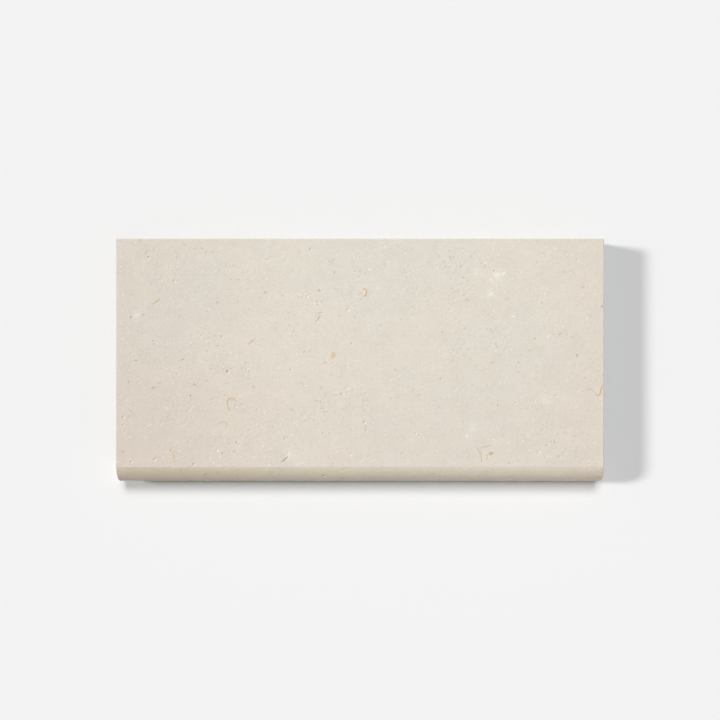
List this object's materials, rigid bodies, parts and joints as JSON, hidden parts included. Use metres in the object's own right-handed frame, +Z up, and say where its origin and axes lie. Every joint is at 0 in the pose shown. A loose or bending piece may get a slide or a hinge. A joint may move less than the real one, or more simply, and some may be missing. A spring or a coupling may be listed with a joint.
{
  "type": "limestone pool coping",
  "caption": "Rectangular slab of pale limestone with one long edge ground to a bullnose, laid along the rim of a pool.",
  "frame": {"origin": "middle of the bed face, the underside that lies in mortar", "axes": "+X along the pool's edge, -Y out over the water through the bullnose, +Z up through the walking face"},
  "size_m": [0.6096, 0.3048, 0.0508],
  "materials": {
    "limestone": "matte"
  },
  "bodies": {
    "root": {"coping": "limestone"}
  },
  "joints": []
}
